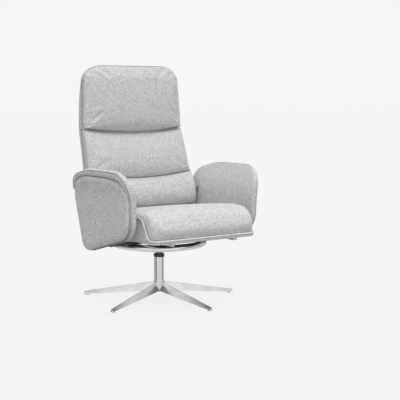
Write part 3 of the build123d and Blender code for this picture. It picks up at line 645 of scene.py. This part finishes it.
def ring_form(name, rings, first_tip=None, last_tip=None, material=grey_wool):
    """Closed form through closed rings. An end is drawn together in its tip, or flat where it has none."""
    count, total = len(rings[0]), len(rings) * len(rings[0])
    points = list(rings)
    faces = grid_faces(len(rings), count, 0, True)
    for first, tip in ((0, first_tip), (total - count, last_tip)):
        edge = list(range(first, first + count))
        if tip is None:
            faces.append(tuple(edge))
        else:
            faces += [(a, b, total) for a, b in zip(edge, edge[1:] + edge[:1])]
            points.append([tip])
            total += 1
    return cloth_object(name, np.concatenate(points), faces, material)


def sewn_cord(name, line, radius, material, body, sides=8):
    """Round covered cord or seam along points in millimetres, closed at both ends."""
    line = np.asarray(line, float)
    way = unit(np.gradient(line, axis=0))
    side = np.cross(way[0], (0, 0, 1) if abs(way[0][2]) < 0.9 else (1, 0, 0))
    turn = np.linspace(0, 2 * math.pi, sides, endpoint=False)[:, None]
    rings = []
    for point, ahead in zip(line, way):
        side = unit(side - ahead * side.dot(ahead))
        rings.append(point + radius * (np.cos(turn) * side + np.sin(turn) * np.cross(ahead, side)))
    cord = ring_form(name, rings, line[0], line[-1], material)
    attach(cord, body)
    return cord


pale_wool = wool_cloth("pale_wool_cord", (0.86, 0.87, 0.86), (0.60, 0.61, 0.60), 900.0, 0.7, 0.0002)
outline = round_plan(3.8)
piping_line = np.column_stack([outline, seam_height(outline[:, 1])])
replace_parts(sewn_cord("seat_piping_cord", piping_line, 3.4, pale_wool, "seat", 10), "seat_piping")

# ---- Seat webbing and underlining ------------------------------------------------------------------
# Six black elastic straps are stapled across the rails under the foam, with a slight sag. A sheet of
# thin black non-woven cloth is stapled under the box, between the runners, to keep dust out.
black_cloth = wool_cloth("black_webbing", (0.055, 0.055, 0.057), (0.018, 0.018, 0.019), 400.0, 0.6, 0.0003)


def elastic_straps(name, node, body, straps, thick):
    """Flat straps, each from a grid of places (rows, columns, 3) on one side and its thickness as a step."""
    points, faces = [], []
    for strap in straps:
        rows, columns = strap.shape[:2]
        first, size = sum(len(part) for part in points), rows * columns
        faces += grid_faces(rows, columns, first) + grid_faces(rows, columns, first + size)
        rim = [*range(columns), *range(2 * columns - 1, size, columns),
               *range(size - 2, size - columns - 1, -1), *range(size - 2 * columns, 0, -columns)]
        faces += [(first + a, first + b, first + b + size, first + a + size)
                  for a, b in zip(rim, rim[1:] + rim[:1])]
        points += [strap.reshape(-1, 3), (strap + np.array(thick)).reshape(-1, 3)]
    webbing = cloth_object(name, np.concatenate(points), faces, black_cloth)
    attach(webbing, body)
    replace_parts(webbing, node)


low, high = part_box("seat_webbing")
strap_count, strap_wide, rail_to_rail, clear_span = 6, 60, 251, 231
across = np.linspace(-rail_to_rail, rail_to_rail, 26)
sag = 94.2 - 4.5 * (1 - (across / rail_to_rail) ** 2) ** 2 * (np.abs(across) < clear_span)
fronts = np.linspace(low.y - swivel_y, high.y - swivel_y - strap_wide * millimetre, strap_count) / millimetre
straps = [np.array([[(x, y, deck + z) for y in (near, near + strap_wide)] for x, z in zip(across, sag)])
          for near in fronts]
elastic_straps("seat_webbing_straps", "seat_webbing", "seat", straps, (0, 0, 2.4))

low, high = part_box("seat_underlining")
# the sheet's black also stands in for the shade under the seat: painted shade
dust_cover_and_shade_cloth = wool_cloth("black_dust_cover_and_painted_shade", (0.05, 0.05, 0.052), (0.025, 0.025, 0.026), 1100.0, 0.5, 0.0001)
x, y = np.meshgrid(np.linspace(low.x, high.x, 40) / millimetre,
                   (np.linspace(low.y, high.y, 60) - swivel_y) / millimetre)
along = (y - y.mean()) / (y.max() - y.mean())
hang = 3.0 * np.clip((1 - (x / x.max()) ** 2) * (1 - along**2), 0, 1) ** 0.5
level = high.z / millimetre - 0.4 - hang - 0.4 * ripple(x, y, 120, 8) * (hang > 0.4)
lining_face = np.stack([x, y, level], axis=-1)
lining = two_sided("underlining_sheet", lining_face, lining_face - np.array([0, 0, 0.6]), dust_cover_and_shade_cloth)
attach(lining, "seat")
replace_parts(lining, "seat_underlining")

# ---- Lumbar and middle cushions --------------------------------------------------------------------
# Two stuffed channels sewn one over the other on the back's front seam. They swell between the creases
# and are drawn in at the sides, where the cloth gathers into small puckers.
back_half, head_half, lower_crease, head_crease, back_top = 280.0, 257.0, 290.0, 500.0, 794.0


def circle_line(first, second, third):
    """Function for the place of a circle through three (place, height) points at a height."""
    a, b, c = (complex(*point) for point in (first, second, third))
    ratio = (c - a) / (b - a)
    centre = a + (b - a) * (ratio - abs(ratio) ** 2) / (2j * ratio.imag)
    radius, side = abs(a - centre), 1 if b.real > centre.real else -1
    return lambda height: centre.real + side * np.sqrt(np.maximum(radius**2 - (height - centre.imag) ** 2, 0))


lower_seam = circle_line((126, 80), (164, 290), (221, 500))
head_seam = circle_line((221, 500), (231, 630), (236, 798))


def front_seam(height):
    return np.where(height <= head_crease, lower_seam(np.minimum(height, head_crease)),
                    head_seam(np.clip(height, head_crease, 800)))


corner_wide, corner_high = 100.0, 64.0


def half_width(height):
    """Half of the back's width at a height, with the head's rounded top corners."""
    straight = np.interp(height, (lower_crease, head_crease, back_top), (back_half, 270, head_half))
    straight = straight + 13.5 * smooth_step(lower_crease + 45 - height, 0, 70)
    past = np.clip((height - (back_top - corner_high)) / corner_high, 0, 1)
    return straight - corner_wide * (1 - np.sqrt(1 - past**2))


def crease_dip(x, depth):
    """How far a crease hangs down at the middle of the back."""
    return depth * np.clip(1 - (x / 262) ** 2, 0, 1) ** 1.2


def clear_the_back(pad):
    """Press the hidden lower rear edge of the head pad flat, so that it tilts free of the back cover."""
    points = places_of(pad.data)
    above = points[:, 2] / millimetre - deck - head_crease
    aside = np.abs(points[:, 0]) / millimetre
    room = 13.0 - 14 * smooth_step(above, 4, 22) - 14 * smooth_step(aside, 60, 130)
    flat = (front_seam(head_crease + np.maximum(above, 2)) - room) * millimetre + swivel_y
    points[:, 1] = np.minimum(points[:, 1], flat)
    pad.data.vertices.foreach_set("co", points.ravel())
    pad.data.update()


def back_pad(name, node, body, low, high, low_dip, high_dip, fullness, roll_low, roll_high,
             edge_low, edge_high, seed, square=7, cap=0.005):
    """Stuffed channel of the back from its low crease to its high one, in front of the seam.

    At each crease it says how far the crease dips at the middle, over what height the channel rolls in, and
    how deep the edge is there. A high square keeps the sides full, and the cap limits the stuffing.
    """
    u, v = np.meshgrid(crowded(91), crowded(71))
    share = (v + 1) / 2
    climb, drop = share * (high - low), (1 - share) * (high - low)
    height = low + climb
    half = half_width(height) - 1.0
    x = u * half
    z = height - (1 - share) ** 1.5 * crease_dip(x, low_dip) - share**1.5 * crease_dip(x, high_dip)
    side = np.clip(1 - np.abs(u) ** square, 0, 1) ** 0.42
    round_low, round_high = roll_in(climb, roll_low), roll_in(drop, roll_high)
    inner = np.minimum(round_low, round_high)
    deep = np.minimum(edge_low + (fullness - edge_low) * round_low,
                      edge_high + (fullness - edge_high) * round_high)
    if square > 10:
        deep = deep + 9.0 * smooth_step(np.abs(x), 185, 262) * inner
    deep = deep * side + 2.2 * ripple(x, z, 230, seed) * side * inner
    near_side = smooth_step(np.abs(u), 0.45, 0.92) * (1 - smooth_step(np.abs(u), 0.97, 1.0))
    for dip, off in ((low_dip, climb), (high_dip, drop)):
        if dip:
            fold = np.sin((np.abs(x) * 0.55 - off * 1.15) / 6.5 + seed) * np.exp(-off / 26)
            deep = deep + 2.4 * fold * near_side * np.clip(off / 6, 0, 1)
    gather = np.sin(z / 5.3 + 1.7 * np.sin(z / 23.0 + seed)) * np.exp(-(1 - np.abs(u)) * half / 11)
    deep = deep + 0.9 * gather * smooth_step((1 - np.abs(u)) * half, 0.5, 5)
    face = np.stack([x, front_seam(height) - np.maximum(deep, 0) - 1.0, z], axis=-1)
    lip = 11.5 if body == "headrest" else 0.0
    back = np.stack([x, front_seam(height) - 0.4 - lip * (1 - smooth_step(share, 0.0, 0.09)), z], axis=-1)
    face[0, :, 1] += 0.6
    back[0], back[-1], back[:, 0], back[:, -1] = face[0], face[-1], face[:, 0], face[:, -1]
    face[..., 2] += deck
    back[..., 2] += deck
    pad = two_sided(name, face, back)

    def hold_at_seams(p):
        behind = p[:, 1] - front_seam(p[:, 2] - deck)
        return smooth_step(behind, -9, -3)

    plump(pad, voxel=0.005, cap=cap, held=hold_at_seams)
    if body == "headrest":
        clear_the_back(pad)
    upholstered(pad, body, node)


back_pad("lumbar_pad", "lumbar_cushion", "back", 138, lower_crease - 1, 0, 17, 38, 60, 92, 6, 8, 21,
         square=26, cap=0.006)
back_pad("middle_pad", "mid_cushion", "back", lower_crease + 1, head_crease - 6, 17, 19, 40, 64, 144,
         8, 6, 22)

# ---- Head cushion ----------------------------------------------------------------------------------
# A fuller stuffed pad on the head board. It rolls over at the top, and its lower edge hangs over the
# crease, so that the headrest can tilt without a gap.
back_pad("head_pad", "head_cushion", "headrest", head_crease + 2, back_top, 19, 0, 45, 96, 206, 12, 2, 23)

# ---- Back and head covers --------------------------------------------------------------------------
# Cloth over thin foam round the steel frame: straight gussets at the sides and one crowned panel
# behind, seamed at both rear corners. The head cover is a separate piece above the crease.
cover_depths = ((92, 52), (290, 56), (500, 59), (640, 53), (794, 14))


def rear_cover(name, node, body, low, high, seed, crown):
    heights = low + (high - low) * (crowded(70) + 1) / 2
    turns = np.pi * (0.5 - 0.5 * np.cos(np.linspace(0, math.pi, 120)))
    t, z = np.meshgrid(turns, heights)
    depth = sum(np.interp(z + reach, *zip(*cover_depths)) for reach in (-40, -20, 0, 20, 40)) / 5
    half = half_width(z) - 0.5
    x = half * np.sign(np.cos(t)) * np.abs(np.cos(t)) ** 0.13
    out = np.sin(t) ** 0.3
    swell = crown * np.clip(depth / 46, 0, 1) * (1 - (x / half) ** 2)
    low_roll = roll_in(z - low, 16 if body == "back" else 4)
    high_roll = roll_in(high - z, 4 if body == "back" else 10)
    body_depth = (depth + swell) * (0.8 + 0.2 * low_roll) * (0.85 + 0.15 * high_roll)
    y = front_seam(z) + out * body_depth + 1.6 * ripple(x, z, 240, seed) * out**4
    pull = 1.3 * np.exp(-((y - front_seam(z) - 18) / 1.6) ** 2) * (np.abs(x) > half - 8)
    x = x - np.sign(x) * pull
    face = np.stack([x, y, z + deck], axis=-1)
    inside = np.stack([x, front_seam(z) - 0.2 + 0 * x, z + deck], axis=-1)
    inside[:, 0], inside[:, -1] = face[:, 0], face[:, -1]
    cover = two_sided(name, face, inside, rims=(0, len(face) - 1))
    upholstered(cover, body, node)


rear_cover("back_cover_cloth", "back_cover", "back", 92, head_crease - 1.4, 31, 22)
rear_cover("head_cover_cloth", "head_cover", "headrest", head_crease + 1.6, back_top, 32, 22)

# an elastic gusset is sewn between the two covers just inside their edges and stretches as the head tilts
gusset_half, gusset_front, gusset_rear = 263, 4, 52
across = np.linspace(-gusset_half, gusset_half, 60)
depths = np.linspace(gusset_front, gusset_rear, 10)[1:-1]
rear_edge = np.column_stack([across, gusset_rear + 19 * (1 - (across / gusset_half) ** 2)])
plan = np.concatenate([np.column_stack([across, np.full(60, gusset_front)]),
                       np.column_stack([np.full(8, gusset_half), depths]), rear_edge[::-1],
                       np.column_stack([np.full(8, -gusset_half), depths[::-1]])])
gusset_profile = ((-16, 3), (-12, 0.8), (-8, 0), (-5, 0.4), (-3, 1.4), (-1.5, 2.2), (0, 2.6), (1.5, 2.2),
                  (3, 1.4), (5, 0.4), (8, 0), (12, 0.8), (16, 3))
rings = []
for height, inset in gusset_profile:
    ring = plan - np.sign(plan - [0, 27]) * inset
    z = head_crease + height
    rings.append(np.column_stack([ring[:, 0], ring[:, 1] + front_seam(z), np.full(len(ring), z + deck)]))
gusset = ring_form("crease_gusset", rings)
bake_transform(gusset)

# the welts: a thin piped seam round the head and down the sides of the back, and a lapped seam behind it
seam_wool = wool_cloth("seam_wool", (0.66, 0.67, 0.66), (0.36, 0.37, 0.36), 900.0, 0.7, 0.0002)
# the lapped seams behind the welts, the rim seams and the groove lines are of this dark cloth: painted shade
# of the creases they lie in
painted_shade_seam_cloth = wool_cloth("shaded_seam", (0.26, 0.27, 0.26), (0.14, 0.145, 0.14), 900.0, 0.7, 0.0002)


def side_line(low, high, behind, out, count):
    z = np.linspace(low, high, count)
    return np.column_stack([half_width(z) + out, front_seam(z) + behind, z + deck])


def over_the_top(behind, out, lift):
    climb = side_line(head_crease + 6, back_top - corner_high - 2, behind, out, 60)
    turn = np.linspace(0, math.pi / 2, 24)[1:]
    corner_x = head_half - corner_wide
    arc = np.column_stack([corner_x + (corner_wide + out) * np.cos(turn), np.zeros(len(turn)),
                           back_top - corner_high + (corner_high + lift) * np.sin(turn)])
    arc[:, 1] = front_seam(arc[:, 2]) + behind
    arc[:, 2] += deck
    top = np.array([(x, float(front_seam(back_top)) + behind, deck + back_top + lift)
                    for x in np.linspace(corner_x, 0, 20)[1:]])
    quarter = np.concatenate([climb, arc, top])
    return np.concatenate([quarter, (quarter * [-1, 1, 1])[::-1][1:]])


sewn_cord("head_front_welt", over_the_top(0.5, 0.0, 0.0), 2.2, seam_wool, "headrest")
sewn_cord("head_gusset_seam", over_the_top(9.0, -0.6, -0.6), 1.5, painted_shade_seam_cloth, "headrest")
for mirror, side in ((1, "left"), (-1, "right")):
    for name, behind, out, radius, cloth in (("back_front_welt", 0.5, 0.0, 2.2, seam_wool),
                                             ("back_gusset_seam", 18.0, -0.6, 1.5, painted_shade_seam_cloth)):
        line = side_line(100, head_crease - 6, behind, out, 80) * [mirror, 1, 1]
        sewn_cord(f"{name}_{side}", line, radius, cloth, "back")

# ---- Back webbing ----------------------------------------------------------------------------------
# Four wide elastic straps between the uprights, behind the foam of the lower back. They are drawn a
# little to the rear by what leans on them.
upright_to_upright = 232
across, rise = np.meshgrid(np.linspace(-upright_to_upright, upright_to_upright, 24), np.linspace(-22, 22, 5))
slack = 2.5 * (1 - (across / upright_to_upright) ** 2)
straps = [np.stack([across, lower_seam(middle + rise) + 13 + slack, middle + rise + deck], axis=-1)
          for middle in (180, 245, 325, 400)]
elastic_straps("back_webbing_straps", "back_webbing", "back", straps, (0, 2.0, 0))

# ---- Arms ------------------------------------------------------------------------------------------
# Each arm is a shield-shaped plywood core in moulded foam. The inner face flares outward to a rolled
# rim, and a separate stuffed panel is set into the outer side, under the rim, with a deep groove round it.
arm_inner, arm_thick, flare_from, arm_crest = 304.0, 28.0, 205.0, 342.0


def rounded_outline(corners, rounds, count):
    """Closed line round corners (y, z) with a radius at each, as evenly spaced points."""
    line = []
    corners = np.array(corners, float)
    for index, radius in enumerate(rounds):
        before, here, after = corners[index - 1], corners[index], corners[(index + 1) % len(corners)]
        to_before, to_after = unit(before - here), unit(after - here)
        half_turn = math.acos(np.clip(to_before.dot(to_after), -1, 1)) / 2
        reach_back = radius / math.tan(half_turn)
        centre = here + unit(to_before + to_after) * radius / math.sin(half_turn)
        start, end = here + to_before * reach_back - centre, here + to_after * reach_back - centre
        first, last = math.atan2(start[1], start[0]), math.atan2(end[1], end[0])
        sweep = (last - first + math.pi) % (2 * math.pi) - math.pi
        line += [centre + radius * np.array([math.cos(first + sweep * k), math.sin(first + sweep * k)])
                 for k in np.linspace(0, 1, 14)]
    return evenly_spaced(np.array(line + line[:1]), count, closing=False)


def inward_from(outline):
    """Unit steps from each point of a closed line towards its inside."""
    ahead = np.roll(outline, -1, axis=0) - np.roll(outline, 1, axis=0)
    inward = unit(np.stack([-ahead[:, 1], ahead[:, 0]], axis=1))
    return -inward if np.sum((outline.mean(0) - outline) * inward) < 0 else inward


def inset_rings(outline, insets):
    """The outline moved inward by each inset, and past the last one drawn together to a point."""
    inward, centre = inward_from(outline), outline.mean(0)
    rings = [outline + inward * inset for inset in insets]
    last = rings[-1]
    rings += [centre + (last - centre) * share for share in (0.85, 0.7, 0.55, 0.4, 0.25, 0.1)]
    return rings


def flare(z):
    return 42.0 * np.clip((z - deck - flare_from) / (arm_crest - flare_from), 0, 1.05) ** 1.6


arm_line = rounded_outline(((-306, 343), (20, 341), (205, 297), (95, -46), (-299, 61)),
                           (98, 300, 80, 60, 92), 260)
panel_line = rounded_outline(((-291, 292), (-110, 306), (66, 304), (196, 268), (94, -43), (-290, 62)),
                             (98, 240, 240, 80, 58, 90), 240)
to_panel = np.min(np.linalg.norm(arm_line[:, None] - panel_line[None], axis=2), axis=1)
# inner side: inset, and place across
arm_inside = ((34, 304), (18, 304), (10, 304.2), (6, 305.0), (4, 306.2), (3, 308.4), (1.8, 307.0),
              (0.5, 308.8))
# outer side: share of the way to the panel, place across, and place across on the rolled rim
arm_outside = ((0.0, 313, 350), (0.04, 317, 354.5), (0.12, 321, 358.2), (0.22, 323.4, 360.2),
               (0.27, 323.8, 360), (0.32, 325, 361.2), (0.5, 327.2, 361.6), (0.68, 329, 360.8),
               (0.8, 329.6, 358.6), (0.87, 329.2, 356), (0.93, 329.8, 352.5), (1.0, 331.2, 346),
               (1.06, 332, 336), (1.4, 332, 332), (2.0, 332, 332))


def rim_ring(side, share, across, rim_across):
    """One line round the arm's outer edge, part of the way from its outline to the panel."""
    inset = to_panel * share if share <= 1 else to_panel + (share - 1) * 30
    ring = arm_line + inward_from(arm_line) * inset[:, None]
    rolled = smooth_step(to_panel, 4, 13) * (0.30 + 0.70 * smooth_step(arm_line[:, 1], 175, 340))
    rim = rim_across - 7.0 * smooth_step(-ring[:, 0], 245, 298) * (rim_across > 345)
    return np.column_stack([side * (across + rolled * (rim - across)), ring[:, 0], ring[:, 1] + deck])


def arm_pad_cover(name, node, side):
    points = []
    for inset, across in arm_inside:
        ring = arm_line + inward_from(arm_line) * inset
        z = ring[:, 1] + deck
        x = across + flare(z) + 0.8 * ripple(ring[:, 0], z, 200, 41) * (inset > 8)
        points.append(np.column_stack([side * x, ring[:, 0], z]))
    points += [rim_ring(side, *place) for place in arm_outside]
    crown = ((0.92, 1.4), (0.84, 2.6), (0.75, 3.6), (0.62, 4.4), (0.45, 4.9), (0.25, 5.0), (0.1, 5.0))
    first, last = points[0], points[-1]
    inner_centre, outer_centre = first.mean(0), last.mean(0)
    for share, swell in crown:
        ring = inner_centre + (first - inner_centre) * share
        ring[:, 0] = side * (arm_inner + flare(ring[:, 2]) - swell)
        points.insert(0, ring)
        points.append(outer_centre + (last - outer_centre) * share)
    pad = ring_form(name, points, points[0].mean(0), points[-1].mean(0))
    upholstered(pad, "carriage", node)


panel_wool = wool_cloth("panel_wool", (0.83, 0.845, 0.83), (0.33, 0.34, 0.33), flecks=1.5, grain=0.7)


def panel_lean(z):
    """How far the panel's upper part leans out under the rim."""
    return 0.62 * flare(z) * smooth_step(z, deck + 205, deck + 290)


def arm_panel_cover(name, node, side):
    profile = [(14, -6.0), (6, -6.0), (2, -4.0), (0.4, 0.0), (0.0, 3.0), (0.9, 6.5), (3.2, 9.8), (7.5, 12.8),
               (14, 15.0), (24, 16.4), (38, 17.2)]
    rings = inset_rings(panel_line, [item[0] for item in profile])
    raised = [item[1] for item in profile] + [17.2, 17.6, 17.9, 18.1, 18.2, 18.2]
    points = []
    for ring, height in zip(rings, raised):
        z = ring[:, 1] + deck
        lie = panel_lean(z)
        swell = 1.4 * ripple(ring[:, 0], z, 230, 43) * (height > 12)
        points.append(np.column_stack([side * (arm_inner + arm_thick + height + lie + swell), ring[:, 0], z]))
    panel = ring_form(name, points, last_tip=points[-1].mean(0), material=panel_wool)
    upholstered(panel, "carriage", node)


def opened(line, height, spare):
    """A closed line cut open at its lowest point, with some points left out on both sides of the cut."""
    return np.roll(line, -int(np.argmin(line[:, height])), axis=0)[spare:-spare]


def rim_seam(name, side):
    """Lapped seam on the rolled rim, where the inner cover meets the band outside, its dark cloth painted
    shade.
    """
    line = opened(rim_ring(side, 0.27, 324.3, 360.3), 2, 12)
    sewn_cord(name, line, 1.5, painted_shade_seam_cloth, "carriage")


def panel_groove(name, side):
    """Sewn line deep in the groove between the rolled rim and the panel, dark as painted shade of the groove.
    """
    line = opened(inset_rings(panel_line, [-1.6])[0], 1, 6)
    z = line[:, 1] + deck
    x = side * (arm_inner + arm_thick + 3.2 + panel_lean(z))
    sewn_cord(name, np.column_stack([x, line[:, 0], z]), 1.9, painted_shade_seam_cloth, "carriage")


def pivot_pad(name, side):
    """Small covered foam disc between the back's side and the arm, round the recline pivot."""
    pivot_place, pivot_height = 122, 220
    profile = ((284, 8), (284.5, 11), (287, 12.4), (291, 12.8), (296, 12.4), (299, 11), (299.5, 8))
    turn = np.linspace(0, 2 * math.pi, 64, endpoint=False)
    rings = [np.column_stack([np.full(64, side * across), pivot_place + size * np.cos(turn),
                              deck + pivot_height + size * np.sin(turn)]) for across, size in profile]
    upholstered(ring_form(name, rings), "back", None)


for side, hand in ((1, "left"), (-1, "right")):
    pivot_pad(f"pivot_pad_{hand}", side)
    arm_pad_cover(f"arm_pad_cover_{hand}", f"arm_pad_{hand}", side)
    arm_panel_cover(f"arm_panel_cover_{hand}", f"arm_panel_{hand}", side)
    panel_groove(f"panel_groove_seam_{hand}", side)
    rim_seam(f"rim_seam_{hand}", side)
